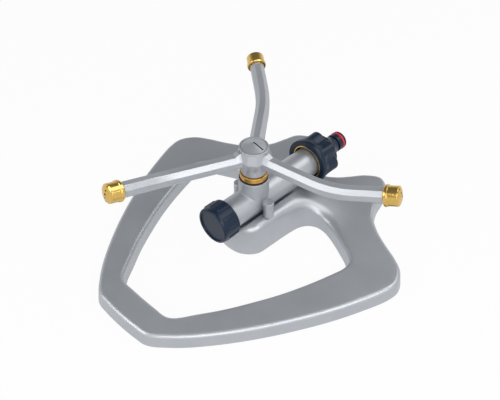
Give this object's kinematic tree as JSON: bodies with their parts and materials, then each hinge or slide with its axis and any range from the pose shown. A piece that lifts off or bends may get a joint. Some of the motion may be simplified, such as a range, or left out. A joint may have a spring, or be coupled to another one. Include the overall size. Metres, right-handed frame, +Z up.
{
  "type": "rotary sprinkler",
  "caption": "Rotary lawn sprinkler: cast base, water tee with hose inlet, end cap and bent-arm rotor with brass spray nozzles.",
  "frame": {"origin": "on the ground, under the middle of the base's outline", "axes": "+Z up along the rotor's axis direction, -Y towards the base's nose, +Y towards the hose inlet"},
  "size_m": [0.2786, 0.2852, 0.1093],
  "materials": {
    "silver_paint": "satin",
    "navy_plastic": "satin",
    "brass": "polished",
    "screw_steel": "satin",
    "black_rubber": "matte",
    "red_rubber": "matte",
    "pale_plastic": "matte"
  },
  "bodies": {
    "stand": {"base_casting": "silver_paint", "base_screw_right": "screw_steel", "base_screw_left": "screw_steel", "tee_body": "silver_paint", "bearing_nut": "brass", "bearing_gasket": "black_rubber", "spindle_seal": "black_rubber", "lower_thrust_washer": "pale_plastic", "upper_thrust_washer": "pale_plastic"},
    "rotor": {"rotor_casting": "silver_paint", "spindle": "brass", "hub_cap": "silver_paint", "hub_cap_seal": "black_rubber", "nozzle_seal_back": "black_rubber", "nozzle_seal_left": "black_rubber", "nozzle_seal_right": "black_rubber"},
    "nozzle_back": {"nozzle_back": "brass"},
    "nozzle_left": {"nozzle_left": "brass"},
    "nozzle_right": {"nozzle_right": "brass"},
    "end_cap_lead": {"end_cap_washer": "black_rubber"},
    "end_cap": {"end_cap": "navy_plastic"},
    "inlet_lead": {"inlet_washer": "black_rubber", "inlet_filter": "pale_plastic"},
    "inlet": {"inlet_adaptor": "navy_plastic", "thread_insert": "brass", "nipple_seal_ring": "red_rubber"}
  },
  "joints": [
    {"name": "rotor_spin", "type": "hinge", "parent": "stand", "child": "rotor", "pos_m": [0, 0.01185, 0.0712], "axis": [0, 0, 1], "continuous": true},
    {"name": "nozzle_back_twist", "type": "hinge", "parent": "rotor", "child": "nozzle_back", "pos_m": [-0.08064, 0.09772, 0.099], "axis": [-0.7766, 0.5798, 0.2463], "range_deg": [-90, 90]},
    {"name": "nozzle_left_twist", "type": "hinge", "parent": "rotor", "child": "nozzle_left", "pos_m": [-0.03405, -0.10092, 0.099], "axis": [-0.1138, -0.9625, 0.2463], "range_deg": [-90, 90]},
    {"name": "nozzle_right_twist", "type": "hinge", "parent": "rotor", "child": "nozzle_right", "pos_m": [0.11469, 0.03875, 0.099], "axis": [0.8904, 0.3827, 0.2463], "range_deg": [-90, 90]},
    {"name": "end_cap_travel", "type": "slide", "parent": "stand", "child": "end_cap_lead", "axis": [0, -1, 0], "range_m": [0, 0.0091]},
    {"name": "end_cap_unscrew", "type": "hinge", "parent": "end_cap_lead", "child": "end_cap", "pos_m": [0, -0.035, 0.0394], "axis": [0, -1, 0], "range_deg": [0, 1800]},
    {"name": "inlet_travel", "type": "slide", "parent": "stand", "child": "inlet_lead", "axis": [0, 1, 0], "range_m": [0, 0.0091]},
    {"name": "inlet_unscrew", "type": "hinge", "parent": "inlet_lead", "child": "inlet", "pos_m": [0, 0.09, 0.0394], "axis": [0, 1, 0], "range_deg": [0, 1800]}
  ],
  "couplings": [
    {"joint": "end_cap_travel", "follows": "end_cap_unscrew", "m_per_rad": 0.0002887},
    {"joint": "inlet_travel", "follows": "inlet_unscrew", "m_per_rad": 0.0002887}
  ]
}
